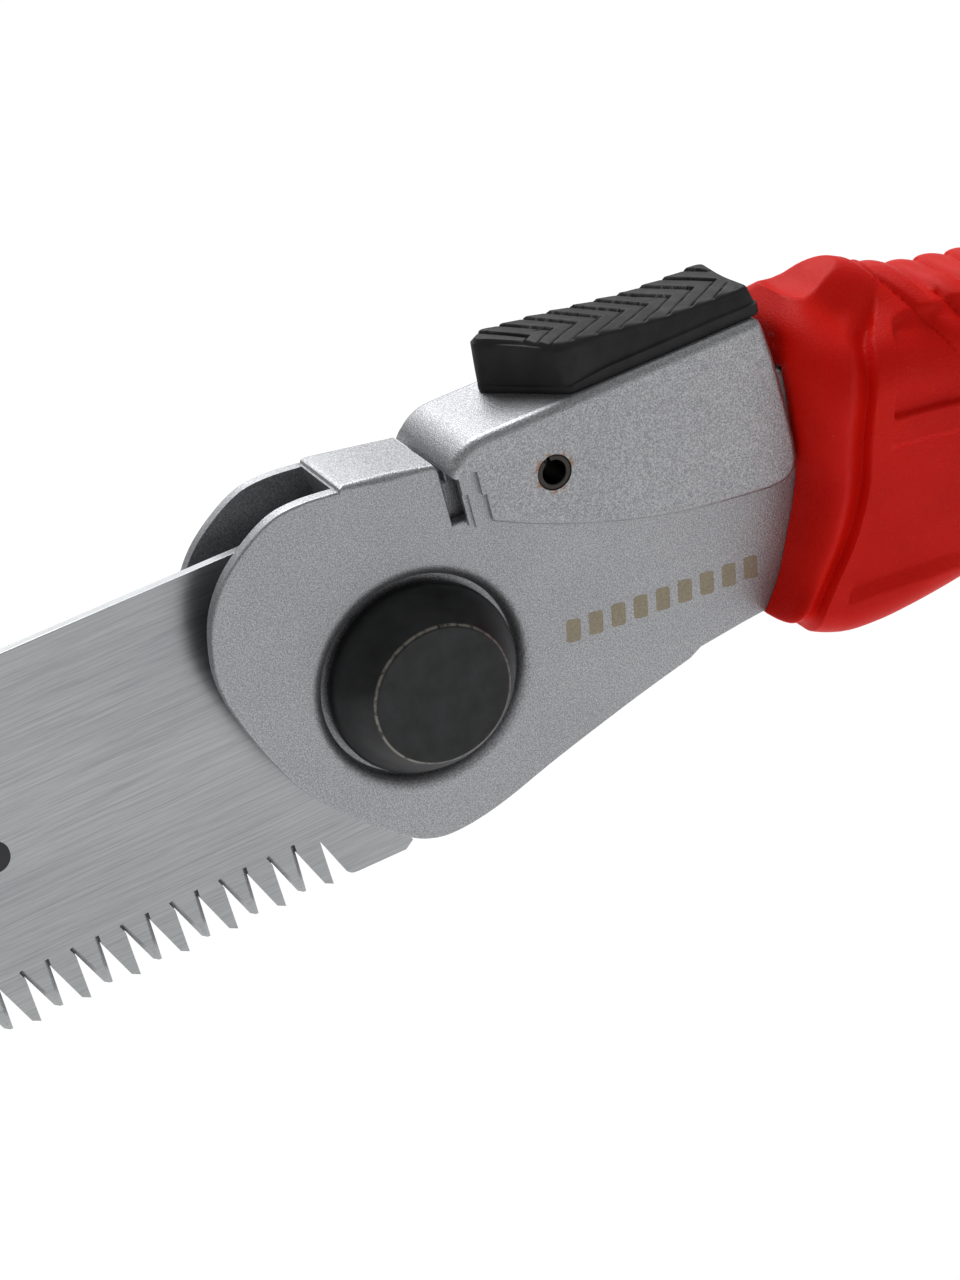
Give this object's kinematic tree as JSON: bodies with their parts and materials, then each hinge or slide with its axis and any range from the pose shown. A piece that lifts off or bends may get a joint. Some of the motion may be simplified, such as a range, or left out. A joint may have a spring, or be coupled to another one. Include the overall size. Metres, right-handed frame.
{
  "type": "folding pruning saw",
  "caption": "Folding hand saw: a toothed blade turns on a pivot into a slotted curved handle, held open by a spring-loaded thumb lever.",
  "frame": {"origin": "centre of the pivot button's flat face, on the pivot axis", "axes": "+X from the pivot to the handle, +Y across the blade away from the button, +Z to the lever side, teeth towards -Z"},
  "size_m": [0.4621, 0.0268, 0.0908],
  "materials": {
    "ground_steel": "lengthwise ground",
    "cast_silver": "blasted, fine grain",
    "black_oxide": "satin black",
    "bright_steel": "satin",
    "spring_steel": "satin",
    "bronze": "plain bearing",
    "black_rubber": "matte, moulded tread",
    "dark_nylon": "matte",
    "red_rubber": "satin, fine grain"
  },
  "bodies": {
    "handle": {"head_frame": "cast_silver", "pivot_bolt": "black_oxide", "pivot_nut": "black_oxide", "pivot_bushing": "bronze", "thrust_washer_near": "bronze", "thrust_washer_far": "bronze", "wave_washer": "spring_steel", "lock_spring": "spring_steel", "core_near": "dark_nylon", "core_far": "dark_nylon", "grip_near": "red_rubber", "grip_far": "red_rubber", "handle_screw_1": "bright_steel", "handle_screw_2": "bright_steel", "handle_screw_3": "bright_steel", "sleeve_nut_1": "bright_steel", "sleeve_nut_2": "bright_steel", "sleeve_nut_3": "bright_steel", "tail_cap": "dark_nylon", "lanyard_eyelet": "bright_steel"},
    "blade": {"blade": "ground_steel"},
    "lever": {"lock_lever": "cast_silver", "thumb_pad": "black_rubber", "lever_pin_near": "black_oxide", "lever_pin_far": "black_oxide"}
  },
  "joints": [
    {"name": "blade_fold", "type": "hinge", "parent": "handle", "child": "blade", "pos_m": [0, 0.0106, 0], "axis": [0, -1, 0], "range_deg": [0, 163]},
    {"name": "lever_lock", "type": "hinge", "parent": "handle", "child": "lever", "pos_m": [0.02, 0.0106, 0.0177], "axis": [0, 1, 0], "range_deg": [0, 9], "stiffness_Nm_per_rad": 0.5, "springref_deg": -17.19, "deforming": ["lock_spring"]}
  ]
}
